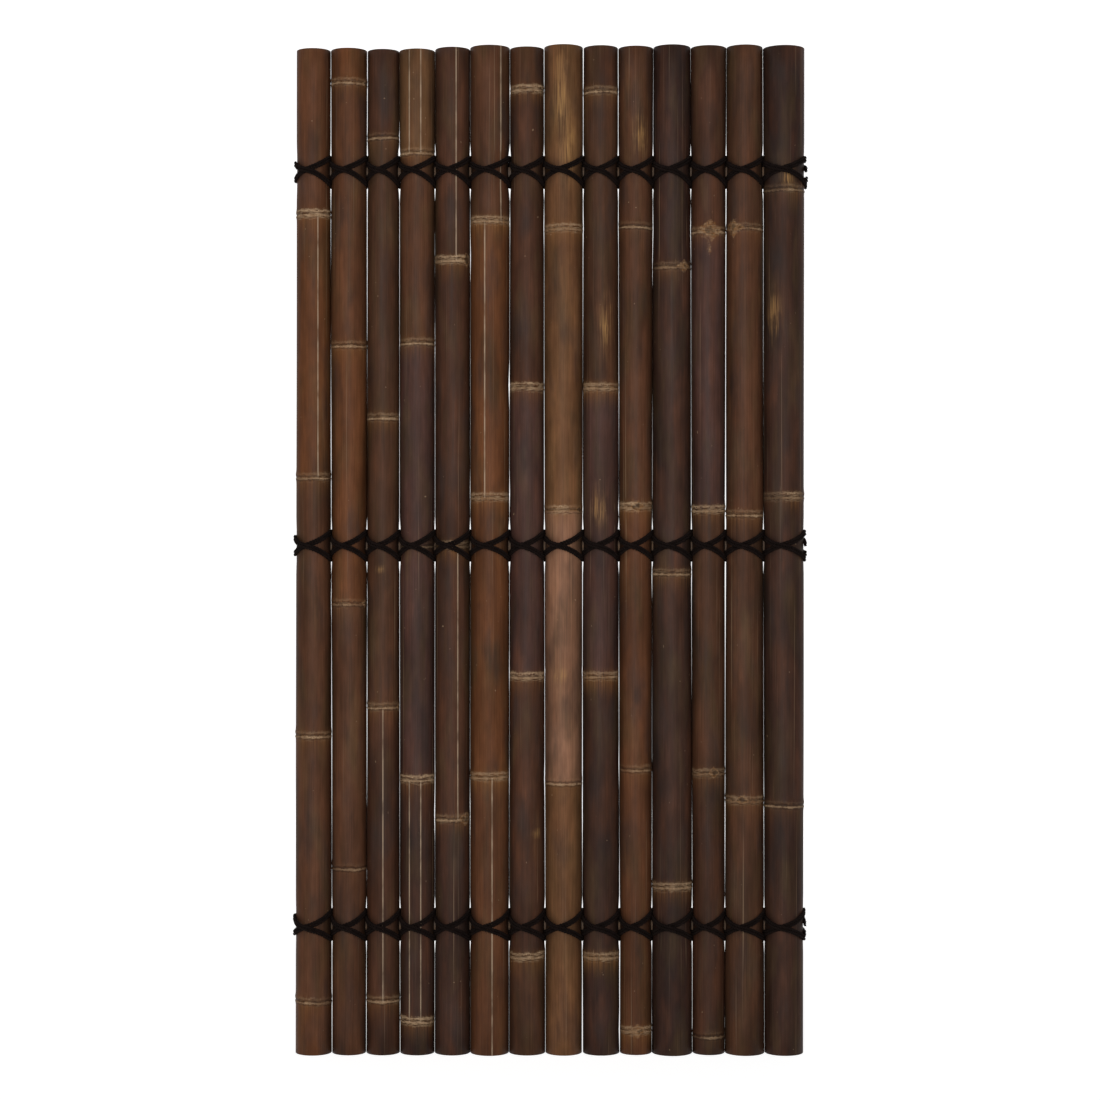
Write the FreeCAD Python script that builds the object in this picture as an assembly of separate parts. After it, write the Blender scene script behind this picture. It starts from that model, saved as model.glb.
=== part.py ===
import FreeCAD, Part
import math
import os

# A garden fence panel. Dark bamboo canes stand side by side, threaded on three hidden laths,
# and at each lath two ropes wind along the panel and cross on every cane.
# +Z is up, +X to the right and the front faces -Y. The origin is on the ground at the panel's middle.

# Canes from left to right: diameter at the lower end, diameter at the upper end, how far the
# upper end stops short of the panel's height, and the heights of the nodes on the culm.
CANES = (
    (64.0, 59.0, 6.0, (93.0, 567.0, 1028.0, 1497.0)),
    (59.0, 64.0, 6.0, (331.0, 803.0, 1263.0, 1732.0)),
    (59.0, 54.0, 7.0, (95.0, 618.0, 1135.0, 1635.0)),
    (60.0, 61.0, 7.0, (58.0, 489.0, 906.0, 1268.0, 1607.0)),
    (61.0, 61.0, 4.0, (419.0, 907.0, 1416.0)),
    (68.0, 67.0, 1.0, (494.0, 992.0, 1485.0)),
    (62.0, 58.0, 3.0, (173.0, 673.0, 1188.0, 1720.0)),
    (64.0, 69.0, 0.0, (483.0, 970.0, 1472.0)),
    (64.0, 60.0, 1.0, (173.0, 673.0, 1188.0, 1717.0)),
    (55.0, 61.0, 2.0, (41.0, 507.0, 976.0, 1475.0)),
    (71.0, 65.0, 0.0, (298.0, 857.0, 1404.0)),
    (56.0, 62.0, 1.0, (31.0, 500.0, 970.0, 1467.0)),
    (69.0, 63.0, 0.0, (452.0, 962.0, 1472.0)),
    (68.0, 73.0, 2.0, (443.0, 993.0, 1542.0)),
)
PANEL_HEIGHT = 1800.0
CANE_GAP = 2.0
CANE_WALL = 7.0

# The culm's round skin is drawn with flats, one of them square to each side of the panel.
CANE_SIDES = 16

# A node is a ring on the skin, steep below its crest and gentle above, with a diaphragm inside.
NODE_RISE = 1.2
NODE_LOWER_SLOPE = 4.0
NODE_UPPER_SLOPE = 9.0
DIAPHRAGM = 6.0

# Laths are split bamboo: flat on one side, with the culm's curve left on the other.
LATH_HEIGHT = 18.0
LATH_THICKNESS = 8.0
LATH_CURVE_RADIUS = 45.0
LATH_INSET = 2.0
LATH_CLEARANCE = 0.3

# The doubled rope is a flat band: thick on the canes, squeezed where it passes between two of them.
ROPE_WIDTH = 8.0
ROPE_THICKNESS = 4.0
ROPE_CLEARANCE = 0.2
ROPE_DIVE_ANGLE = 17.0

# Rows of lashings.
TOP_ROW_DROP = 223.0
BOTTOM_ROW_HEIGHT = 229.0
MIDDLE_ROW_RISE = 5.0

TOP_ROW_HEIGHT = PANEL_HEIGHT - TOP_ROW_DROP
MIDDLE_ROW_HEIGHT = (TOP_ROW_HEIGHT + BOTTOM_ROW_HEIGHT) / 2 + MIDDLE_ROW_RISE
ROWS = {"top": TOP_ROW_HEIGHT, "middle": MIDDLE_ROW_HEIGHT, "bottom": BOTTOM_ROW_HEIGHT}

# Two turns of rope share each gap, one beyond the other, clear of the lath.
LATH_EDGE = LATH_HEIGHT / 2 + LATH_CLEARANCE
INNER_TURN = LATH_EDGE + ROPE_WIDTH / 2
OUTER_TURN = INNER_TURN + ROPE_WIDTH + ROPE_CLEARANCE
ROW_EDGE = OUTER_TURN + ROPE_WIDTH / 2

# Corners that leave one plane by less than this make one flat facet.
FLATNESS = 0.001


def facets(corners):
    """One flat face through four corners, or two where the corners don't lie in one plane."""
    first, second, third, fourth = corners
    normal = (second - first).cross(third - first).normalize()
    outlines = [corners]
    if abs(normal.dot(fourth - first)) > FLATNESS:
        outlines = [[first, second, third], [first, third, fourth]]
    return [Part.Face(Part.makePolygon(outline + outline[:1])) for outline in outlines]


def skin(loops):
    """Solid with flat facets from each loop of corners to the next, closed by the first and last loop."""
    faces = [Part.Face(Part.makePolygon(loop + loop[:1])) for loop in (loops[0], loops[-1])]
    for near, far in zip(loops, loops[1:]):
        for corner in range(len(near)):
            faces += facets([near[corner - 1], near[corner], far[corner], far[corner - 1]])
    return Part.makeSolid(Part.makeShell(faces))


class Cane:
    """A bamboo cane that stands upright on the ground at its own place along the panel."""

    def __init__(self, lower_diameter, upper_diameter, shortfall, node_heights):
        self.lower_radius = lower_diameter / 2
        self.upper_radius = upper_diameter / 2
        self.length = PANEL_HEIGHT - shortfall
        highest_node = self.length - NODE_UPPER_SLOPE
        self.nodes = [height for height in node_heights if height < highest_node]
        self.x = 0.0

    def radius(self, height):
        """Radius of the plain skin, between nodes, at a height."""
        growth = self.upper_radius - self.lower_radius
        return self.lower_radius + growth * height / self.length

    def reach(self, low, high):
        """Largest radius between two heights, on a node ring if one lies there."""
        skin_radius = max(self.radius(low), self.radius(high))
        for node in self.nodes:
            if node - NODE_LOWER_SLOPE < high and node + NODE_UPPER_SLOPE > low:
                return skin_radius + NODE_RISE
        return skin_radius

    def half_section(self):
        """Radius and height round the culm's wall, from the lower diaphragm outside to the upper one."""
        ceiling = self.nodes[0] - DIAPHRAGM / 2
        floor = self.nodes[-1] + DIAPHRAGM / 2
        outline = [(self.radius(ceiling) - CANE_WALL, ceiling)]
        outline.append((self.lower_radius - CANE_WALL, 0))
        outline.append((self.lower_radius, 0))
        for node in self.nodes:
            foot = node - NODE_LOWER_SLOPE
            shoulder = node + NODE_UPPER_SLOPE
            outline.append((self.radius(foot), foot))
            outline.append((self.radius(node) + NODE_RISE, node))
            outline.append((self.radius(shoulder), shoulder))
        outline.append((self.upper_radius, self.length))
        outline.append((self.upper_radius - CANE_WALL, self.length))
        outline.append((self.radius(floor) - CANE_WALL, floor))
        return outline

    def loop(self, radius, height):
        """Corners of the culm's section, with a flat towards each neighbour."""
        turns = [math.pi * (2 * side + 1) / CANE_SIDES for side in range(CANE_SIDES)]
        return [FreeCAD.Vector(self.x + radius * math.cos(a), radius * math.sin(a), height) for a in turns]

    def mortise(self, row_height):
        """The slot that a lath passes through, right across the culm."""
        breadth = 2 * max(self.lower_radius, self.upper_radius) + 2 * NODE_RISE
        depth = LATH_THICKNESS + 2 * LATH_CLEARANCE
        height = LATH_HEIGHT + 2 * LATH_CLEARANCE
        corner = FreeCAD.Vector(self.x - breadth / 2, -depth / 2, row_height - height / 2)
        return Part.makeBox(breadth, depth, height, corner)

    def solid(self):
        """The culm, open at both ends down to the first diaphragm, with a mortise for each lath."""
        culm = skin([self.loop(radius, height) for radius, height in self.half_section()])
        mortises = Part.makeCompound([self.mortise(height) for height in ROWS.values()])
        return culm.removeSplitter().cut(mortises)


def stand_side_by_side(canes):
    """Give each cane its place, one gap from its neighbour at their closest, centred on the origin."""
    for left, right in zip(canes, canes[1:]):
        closest = max(left.lower_radius + right.lower_radius, left.upper_radius + right.upper_radius)
        right.x = left.x + closest + CANE_GAP
    left_edge = canes[0].x - max(canes[0].lower_radius, canes[0].upper_radius)
    right_edge = canes[-1].x + max(canes[-1].lower_radius, canes[-1].upper_radius)
    for cane in canes:
        cane.x -= (left_edge + right_edge) / 2


def lath(canes, row_height):
    """A split lath from one outer cane's skin to the other's."""
    left = canes[0].x - canes[0].radius(row_height) + LATH_INSET
    right = canes[-1].x + canes[-1].radius(row_height) - LATH_INSET
    top = row_height + LATH_HEIGHT / 2
    bottom = row_height - LATH_HEIGHT / 2
    back = LATH_THICKNESS / 2
    crown = LATH_CURVE_RADIUS - math.sqrt(LATH_CURVE_RADIUS ** 2 - (LATH_HEIGHT / 2) ** 2)
    front = crown - back
    lower_front = FreeCAD.Vector(left, front, bottom)
    upper_front = FreeCAD.Vector(left, front, top)
    upper_back = FreeCAD.Vector(left, back, top)
    lower_back = FreeCAD.Vector(left, back, bottom)
    culm_skin = Part.Arc(lower_front, FreeCAD.Vector(left, -back, row_height), upper_front).toShape()
    sides = Part.makePolygon([upper_front, upper_back, lower_back, lower_front])
    section = Part.Face(Part.Wire([culm_skin] + sides.Edges))
    return section.extrude(FreeCAD.Vector(right - left, 0, 0))


class Lashing:
    """One rope of a row, doubled round the left cane, with both halves wound to the right cane."""

    def __init__(self, canes, row_height, high_on_left):
        self.canes = canes
        self.row_height = row_height
        self.high_on_left = high_on_left

    def above_lath(self, gap):
        """Whether the rope goes through a gap above the lath, as it does in every other one."""
        return self.high_on_left == (gap % 2 == 0)

    def level(self, gap, turn):
        """Height of a turn of the rope in a gap."""
        return self.row_height + (turn if self.above_lath(gap) else -turn)

    def passage(self, gap):
        """Where the rope goes between two canes, or round an outer one: x and the rope's thickness."""
        edges = sorted([self.level(gap, LATH_EDGE), self.level(gap, ROW_EDGE)])
        around = ROPE_CLEARANCE + ROPE_THICKNESS / 2
        if gap == 0:
            return self.canes[0].x - self.canes[0].reach(*edges) - around, ROPE_THICKNESS
        left = self.canes[gap - 1]
        left_skin = left.x + left.reach(*edges)
        if gap == len(self.canes):
            return left_skin + around, ROPE_THICKNESS
        right = self.canes[gap]
        right_skin = right.x - right.reach(*edges)
        return (left_skin + right_skin) / 2, right_skin - left_skin - 2 * ROPE_CLEARANCE

    def pass_by(self, index, side, first_turn, last_turn):
        """Stations of one half on its way past a cane, in front for a side of -1 or behind for 1."""
        cane = self.canes[index]
        first_level = self.level(index, first_turn)
        last_level = self.level(index + 1, last_turn)
        seat = cane.reach(self.row_height - ROW_EDGE, self.row_height + ROW_EDGE) + ROPE_CLEARANCE
        if first_level > last_level:
            # The falling half lies on the rising one, which is another rope's.
            seat += ROPE_THICKNESS + ROPE_CLEARANCE
        bend = seat + ROPE_THICKNESS / 2
        first_x, first_thickness = self.passage(index)
        last_x, last_thickness = self.passage(index + 1)
        slope = (last_level - first_level) / (last_x - first_x)
        ends = ((first_x, first_level, first_thickness), (last_x, last_level, last_thickness))
        stations = []
        for x, level, thickness in ends:
            across = abs(x - cane.x)
            dive = math.sqrt((bend / math.cos(math.radians(ROPE_DIVE_ANGLE))) ** 2 - across ** 2)
            corner_angle = (math.atan2(across, dive) - math.radians(ROPE_DIVE_ANGLE)) / 2
            corner_x = cane.x + math.copysign(bend * math.tan(corner_angle), x - cane.x)
            corner_level = level + slope * (corner_x - x)
            stations.append((FreeCAD.Vector(x, side * dive, level), thickness))
            stations.append((FreeCAD.Vector(corner_x, side * bend, corner_level), ROPE_THICKNESS))
        first_dive, first_corner, last_dive, last_corner = stations
        return [first_dive, first_corner, last_corner, last_dive]

    def half(self, side):
        """Stations of one half from the left cane, swapping front for back in every gap."""
        loop_turn = (INNER_TURN + OUTER_TURN) / 2
        turns = [loop_turn]
        for gap in range(1, len(self.canes) + 1):
            from_front = side * (-1) ** gap > 0
            turns.append(INNER_TURN if from_front == self.high_on_left else OUTER_TURN)
        stations = []
        for index in range(len(self.canes)):
            stations += self.pass_by(index, side * (-1) ** index, turns[index], turns[index + 1])
        end, thickness = stations[-1]
        stations.append((FreeCAD.Vector(end.x, -end.y, end.z), thickness))
        return stations

    def solid(self):
        """The band's flat-sided skin over one upright section at each station of its route."""
        route = self.half(-1)[::-1] + self.half(1)
        points = [point for point, thickness in route]
        sections = []
        for number, (point, thickness) in enumerate(route):
            before = plan_direction(points, number - 1)
            after = plan_direction(points, number)
            across = FreeCAD.Vector(-(before.y + after.y), before.x + after.x, 0).normalize()
            mitre = abs(across.x * before.y - across.y * before.x)
            sections.append(band_section(point, across * (thickness / 2 / mitre)))
        return skin(sections)


def plan_direction(points, run):
    """Level direction of one run of a route, where the end runs also stand for those beyond them."""
    run = min(max(run, 0), len(points) - 2)
    step = points[run + 1] - points[run]
    return FreeCAD.Vector(step.x, step.y, 0).normalize()


def band_section(centre, across):
    """Corners of the band's upright section, from its middle to half its thickness each way."""
    up = FreeCAD.Vector(0, 0, ROPE_WIDTH / 2)
    return [centre + across + up, centre - across + up, centre - across - up, centre + across - up]


canes = [Cane(*sizes) for sizes in CANES]
stand_side_by_side(canes)

parts = {}
for number, cane in enumerate(canes, start=1):
    parts[f"cane_{number:02d}"] = cane.solid()
for row, height in ROWS.items():
    parts[f"{row}_lath"] = lath(canes, height)
    parts[f"{row}_rope_high"] = Lashing(canes, height, True).solid()
    parts[f"{row}_rope_low"] = Lashing(canes, height, False).solid()

os.makedirs("parts", exist_ok=True)
for name, shape in parts.items():
    shape.exportStep(f"parts/{name}.step")
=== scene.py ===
# %% [markdown]
# A bamboo fence panel, dressed in Blender. The real panel is a row of dark stained canes that stand
# side by side. Three hidden laths run through them, and at each lath two black ropes wind from cane
# to cane and cross on every one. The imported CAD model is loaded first. It is the frame that gives
# every piece its place and size, so nothing here has to be fitted by eye.

# %% Load the frame
import math
import random

import bmesh
import bpy
from mathutils import Matrix, Vector, noise


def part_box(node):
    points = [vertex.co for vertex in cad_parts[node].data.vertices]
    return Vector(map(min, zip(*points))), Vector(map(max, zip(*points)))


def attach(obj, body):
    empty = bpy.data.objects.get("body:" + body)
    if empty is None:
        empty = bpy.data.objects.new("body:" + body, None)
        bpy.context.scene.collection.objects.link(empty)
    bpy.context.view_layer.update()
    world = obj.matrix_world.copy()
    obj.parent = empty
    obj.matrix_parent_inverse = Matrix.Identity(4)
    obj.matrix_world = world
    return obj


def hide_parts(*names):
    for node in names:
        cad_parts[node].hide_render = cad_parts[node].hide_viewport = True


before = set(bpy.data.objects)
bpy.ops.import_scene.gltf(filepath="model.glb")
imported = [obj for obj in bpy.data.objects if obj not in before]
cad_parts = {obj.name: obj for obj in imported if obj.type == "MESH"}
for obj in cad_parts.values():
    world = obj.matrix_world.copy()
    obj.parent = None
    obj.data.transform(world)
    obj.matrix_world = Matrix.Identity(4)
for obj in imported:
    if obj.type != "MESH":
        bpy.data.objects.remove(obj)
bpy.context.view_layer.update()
MM = 0.001

# %% [markdown]
# The camera stands level with the middle of the panel, straight in front of it, because the photograph
# shows the rims of the upper ends arch up and those of the lower ends arch down by the same amount.
# How much they arch gives the distance, and the width of the view then gives the lens.

# %% Camera
CAMERA_DISTANCE = 4.2
CAMERA_HEIGHT = 0.9
VIEW_WIDTH = 1.956
SENSOR_WIDTH = 36.0

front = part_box("cane_08")[0].y
camera_data = bpy.data.cameras.new("camera")
camera_data.sensor_width = SENSOR_WIDTH
camera_data.lens = SENSOR_WIDTH * CAMERA_DISTANCE / VIEW_WIDTH
camera = bpy.data.objects.new("camera", camera_data)
camera.location = (0.0, front - CAMERA_DISTANCE, CAMERA_HEIGHT)
camera.rotation_euler = (math.radians(90), 0.0, 0.0)
bpy.context.scene.collection.objects.link(camera)
bpy.context.scene.camera = camera
bpy.context.scene.view_settings.view_transform = "Standard"
print("lens:", round(camera_data.lens, 1))

# %% [markdown]
# Materials are built from nodes. They could be wired one link at a time, but a few helpers are easier to
# read: one adds a node and fills its inputs, each from a plain value or from another node's output, and
# the others stand on it. Colours are written as a paint chart gives them, in 8-bit sRGB, and turned into
# Blender's linear values.


# %% Helpers for materials
def paint(red, green, blue):
    """Linear colour from 8-bit sRGB values."""
    def linear(value):
        share = value / 255
        return share / 12.92 if share <= 0.04045 else ((share + 0.055) / 1.055) ** 2.4
    return (linear(red), linear(green), linear(blue), 1.0)


def add_node(tree, kind, inputs=None, **settings):
    """Add a node with these settings, and fill its inputs with values or with other nodes' outputs."""
    node = tree.nodes.new(kind)
    for name, value in settings.items():
        setattr(node, name, value)
    for name, value in (inputs or {}).items():
        if isinstance(value, bpy.types.NodeSocket):
            tree.links.new(value, node.inputs[name])
        else:
            node.inputs[name].default_value = value
    return node


def lay_over(tree, amount, under, over, blend_type="MIX"):
    """Colour that goes from one input to another by an amount."""
    under_socket, over_socket, result = 6, 7, 2
    inputs = {0: amount, under_socket: under, over_socket: over}
    return add_node(tree, "ShaderNodeMix", inputs, data_type="RGBA", blend_type=blend_type).outputs[result]


def calculate(tree, operation, first, second):
    """The result of one operation on two numbers."""
    return add_node(tree, "ShaderNodeMath", {0: first, 1: second}, operation=operation).outputs[0]


def add(tree, first, second):
    """Sum of two numbers."""
    return calculate(tree, "ADD", first, second)


def multiply(tree, first, second):
    """Product of two numbers."""
    return calculate(tree, "MULTIPLY", first, second)


def greater(tree, first, second):
    """The greater of two numbers."""
    return calculate(tree, "MAXIMUM", first, second)


def remap(tree, value, from_low, from_high, to_low, to_high):
    """A number carried from one range to another, and held inside it."""
    inputs = {"Value": value, "From Min": from_low, "From Max": from_high}
    inputs.update({"To Min": to_low, "To Max": to_high})
    return add_node(tree, "ShaderNodeMapRange", inputs).outputs[0]


def veil(tree, colour, over, value, *ranges):
    """A colour with another laid over it, as thickly as a remapped number says."""
    return lay_over(tree, remap(tree, value, *ranges), colour, over)


def shade(tree, colour, value, *ranges):
    """A colour made darker or lighter by a remapped number."""
    return lay_over(tree, 1.0, colour, remap(tree, value, *ranges), "MULTIPLY")


def stretched(tree, scale):
    """The object's own coordinates, with their own scale along x, y and z."""
    coordinates = add_node(tree, "ShaderNodeTexCoord").outputs["Object"]
    return add_node(tree, "ShaderNodeMapping", {"Vector": coordinates, "Scale": scale}).outputs["Vector"]


def stretched_noise(tree, scale, detail=3.0):
    """Noise on stretched coordinates."""
    inputs = {"Vector": stretched(tree, scale), "Scale": 1.0, "Detail": detail}
    return add_node(tree, "ShaderNodeTexNoise", inputs).outputs[0]


def attribute(tree, name, kind="Fac"):
    """An attribute that the mesh carries, as a number or as a colour."""
    return add_node(tree, "ShaderNodeAttribute", attribute_name=name).outputs[kind]


def new_material(name):
    """An empty node material, with its tree and its output node."""
    material = bpy.data.materials.new(name)
    material.use_nodes = True
    tree = material.node_tree
    tree.nodes.clear()
    return material, tree, add_node(tree, "ShaderNodeOutputMaterial")


def coat(tree, output, colour, roughness, relief, bump_strength, bump_depth, gloss):
    """Close a material: its colour, roughness and gloss, and a relief that is felt as a bump."""
    inputs = {"Strength": bump_strength, "Distance": bump_depth, "Height": relief}
    bump = add_node(tree, "ShaderNodeBump", inputs)
    shader = add_node(tree, "ShaderNodeBsdfPrincipled", {
        "Base Color": colour,
        "Roughness": roughness,
        "Specular IOR Level": gloss,
        "Normal": bump.outputs["Normal"],
    })
    tree.links.new(shader.outputs[0], output.inputs["Surface"])


print("material helpers ready")

# %% [markdown]
# The stage is a sweep, as in a photo studio: a floor that runs into a back wall along a round bend. It
# could be two planes, but a bent sheet leaves no line where they meet. It starts as one grid, whose back
# edge is extruded upwards, and the corner edge is bevelled round. Rays that the camera sees get a white
# glow plus some plain diffuse, so the ground is white and still shows the panel's soft shadow. The glow
# is full far from the panel and weaker near it, where the lamps make up for it and the shadow falls.

# %% Studio sweep
FLOOR_REACH = 7.0
WALL_HEIGHT = 7.0
SWEEP_BEND = 1.5
SWEEP_SEGMENTS = 16
NEAR_GLOW = 0.84
FAR_GLOW = 1.0
GLOW_NEAR = 2.5
GLOW_FAR = 5.0
FLOOR_DIFFUSE = (0.55, 0.55, 0.55, 1.0)
PALE = (0.8, 0.8, 0.8, 1.0)


def seen_directly(tree):
    """1 for rays from the camera, and for those that it sees in a gloss or through glass."""
    path = add_node(tree, "ShaderNodeLightPath").outputs
    mirrored = greater(tree, path["Is Glossy Ray"], path["Is Transmission Ray"])
    return greater(tree, path["Is Camera Ray"], mirrored)


def sweep_material():
    """Pale ground, which the camera and reflections see as white with a faint shadow."""
    material, tree, output = new_material("studio_sweep")
    place = add_node(tree, "ShaderNodeTexCoord").outputs["Object"]
    distance = add_node(tree, "ShaderNodeVectorMath", {0: place}, operation="LENGTH").outputs["Value"]
    strength = remap(tree, distance, GLOW_NEAR, GLOW_FAR, NEAR_GLOW, FAR_GLOW)
    glow = add_node(tree, "ShaderNodeEmission", {"Strength": strength})
    shadow_catcher = add_node(tree, "ShaderNodeBsdfDiffuse", {"Color": FLOOR_DIFFUSE})
    white = add_node(tree, "ShaderNodeAddShader", {0: glow.outputs[0], 1: shadow_catcher.outputs[0]})
    pale = add_node(tree, "ShaderNodeBsdfDiffuse", {"Color": PALE})
    shaders = {0: seen_directly(tree), 1: pale.outputs[0], 2: white.outputs[0]}
    choice = add_node(tree, "ShaderNodeMixShader", shaders)
    tree.links.new(choice.outputs[0], output.inputs["Surface"])
    return material


def add_object(name, mesh_source, *materials):
    """An object at the origin from a bmesh, with smooth faces and its materials."""
    mesh = bpy.data.meshes.new(name)
    mesh_source.to_mesh(mesh)
    mesh_source.free()
    mesh.polygons.foreach_set("use_smooth", [True] * len(mesh.polygons))
    for material in materials:
        mesh.materials.append(material)
    piece = bpy.data.objects.new(name, mesh)
    bpy.context.scene.collection.objects.link(piece)
    return piece


sheet = bmesh.new()
bmesh.ops.create_grid(sheet, x_segments=1, y_segments=1, size=FLOOR_REACH)
back_edge = [edge for edge in sheet.edges if all(vertex.co.y > 0 for vertex in edge.verts)]
wall = bmesh.ops.extrude_edge_only(sheet, edges=back_edge)["geom"]
wall_top = [item for item in wall if isinstance(item, bmesh.types.BMVert)]
bmesh.ops.translate(sheet, verts=wall_top, vec=(0.0, 0.0, WALL_HEIGHT))
bmesh.ops.bevel(
    sheet, geom=back_edge, offset=SWEEP_BEND, affect="EDGES",
    segments=SWEEP_SEGMENTS, profile=0.5, material=-1,
)
sweep = add_object("studio_sweep", sheet, sweep_material())
print("sweep faces:", len(sweep.data.polygons))

# %% [markdown]
# The light is one large soft lamp near the camera, a little to the left and above, and an even dim sky
# for fill. Each cane in the photograph is brightest along its middle and falls off to both sides alike,
# which is what a broad frontal lamp gives on a row of cylinders. A second, weaker lamp stands behind, so
# that the back of the panel can be looked at too. The room beyond the sweep is white to the eye only.

# %% Light
KEY_PLACE = Vector((-0.4, -4.4, 1.4))
KEY_POWER = 143.0
BACK_PLACE = Vector((0.9, 4.2, 1.8))
BACK_POWER = 70.0
LAMP_SIZE = 2.2
LAMP_AIM = Vector((0.0, 0.0, 0.95))
SKY_STRENGTH = 0.12


def add_lamp(name, place, power):
    """A square soft lamp that faces the panel and can't be seen itself."""
    lamp_data = bpy.data.lights.new(name, "AREA")
    lamp_data.shape = "SQUARE"
    lamp_data.size = LAMP_SIZE
    lamp_data.energy = power
    lamp = bpy.data.objects.new(name, lamp_data)
    lamp.location = place
    lamp.rotation_mode = "QUATERNION"
    lamp.rotation_quaternion = (LAMP_AIM - place).to_track_quat("-Z", "Y")
    lamp.visible_camera = False
    bpy.context.scene.collection.objects.link(lamp)


add_lamp("key_lamp", KEY_PLACE, KEY_POWER)
add_lamp("back_lamp", BACK_PLACE, BACK_POWER)
world = bpy.data.worlds.new("even_sky")
world.use_nodes = True
sky = world.node_tree.nodes["Background"]
sky.inputs["Color"].default_value = (1.0, 1.0, 1.0, 1.0)
sky_light = remap(world.node_tree, seen_directly(world.node_tree), 0.0, 1.0, SKY_STRENGTH, 1.0)
world.node_tree.links.new(sky_light, sky.inputs["Strength"])
bpy.context.scene.world = world
print("lamps:", KEY_POWER, BACK_POWER, "W, sky:", SKY_STRENGTH)

# %% [markdown]
# Every cane here follows its CAD cane. Its sizes could be typed in again, but then two files would have
# to agree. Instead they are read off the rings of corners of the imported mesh: the lowest and highest
# rings give the radii, and each ring that stands proud of the straight taper is a node of the culm.

# %% Read the canes off the CAD model
CAD_CANE_SIDES = 16
CAD_NODE_RISE = 1.2 * MM


class Culm:
    """A cane's place, radii, length and node heights, in metres."""

    def __init__(self, name):
        self.name = name
        low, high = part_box(name)
        self.x = (low.x + high.x) / 2
        self.length = high.z
        rings = {}
        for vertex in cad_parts[name].data.vertices:
            corner = (round(vertex.co.x, 5), round(vertex.co.y, 5))
            rings.setdefault(round(vertex.co.z, 5), set()).add(corner)
        radii = {}
        for height, ring in rings.items():
            if len(ring) >= CAD_CANE_SIDES:
                radii[height] = max(math.hypot(x - self.x, y) for x, y in ring)
        self.lower_radius = radii[min(radii)]
        self.upper_radius = radii[max(radii)]
        proud = CAD_NODE_RISE / 2
        self.nodes = sorted(height for height in radii if radii[height] > self.radius(height) + proud)

    def radius(self, height):
        """Radius of the plain skin at a height."""
        return self.lower_radius + (self.upper_radius - self.lower_radius) * height / self.length

    def internode(self, height):
        """Number of nodes below a height."""
        return sum(node < height for node in self.nodes)

    def nearest_node(self, height):
        """Number of the node nearest to a height."""
        return min(range(len(self.nodes)), key=lambda number: abs(self.nodes[number] - height))


culms = [Culm(name) for name in sorted(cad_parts) if name.startswith("cane_")]
for culm in culms:
    print(culm.name, "x", round(culm.x, 4), "nodes at", [round(node, 3) for node in culm.nodes])

# %% [markdown]
# No two culms have the same skin, so each one is described here as a gardener would, from the foot up:
# the stain on each internode, how each node's ring looks, the side and size of the scar of a bud or of a
# dark knob where a twig grew, the internodes with a thin pale line, patches where the stain is rubbed off,
# by height, side and half length, and the side on which a ring shows when it doesn't go all the way round.
# A side is a share of the radius, from -1 at the left edge to 1 at the right edge, as seen from the front.

# %% What each culm looks like
STAINS = {
    "honey": paint(123, 88, 67),
    "golden": paint(103, 70, 45),
    "tawny": paint(91, 63, 41),
    "russet": paint(91, 55, 32),
    "bay": paint(84, 52, 33),
    "chestnut": paint(77, 49, 33),
    "umber": paint(69, 45, 31),
    "walnut": paint(65, 41, 29),
    "plum": paint(65, 44, 38),
    "ebony": paint(55, 36, 28),
    "pitch": paint(49, 32, 26),
}

# How strongly a node shows: the pale line of the scar, the rough band above it, the warm skin below it.
RINGS = {
    "thin": (0.9, 0.1, 0.25),
    "bright": (1.0, 0.3, 0.5),
    "double": (1.0, 1.0, 0.55),
    "gold": (0.8, 0.7, 0.95),
    "rough": (0.7, 0.9, 0.7),
    "faint": (0.35, 0.5, 0.5),
}


class Look:
    """The finish of one culm."""

    def __init__(self, stains_and_shade, rings, buds=None, knobs=None, lines=None, patches=(), shown=None):
        self.stains_and_shade = stains_and_shade.split()
        self.rings = rings.split()
        self.buds = buds or {}
        self.knobs = knobs or {}
        self.lines = lines or {}
        self.patches = patches
        self.shown = shown or {}


# Some culms take a darker stain on their lowest internodes: partly their own tone, partly painted shade for
# light that falls from above.
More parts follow.
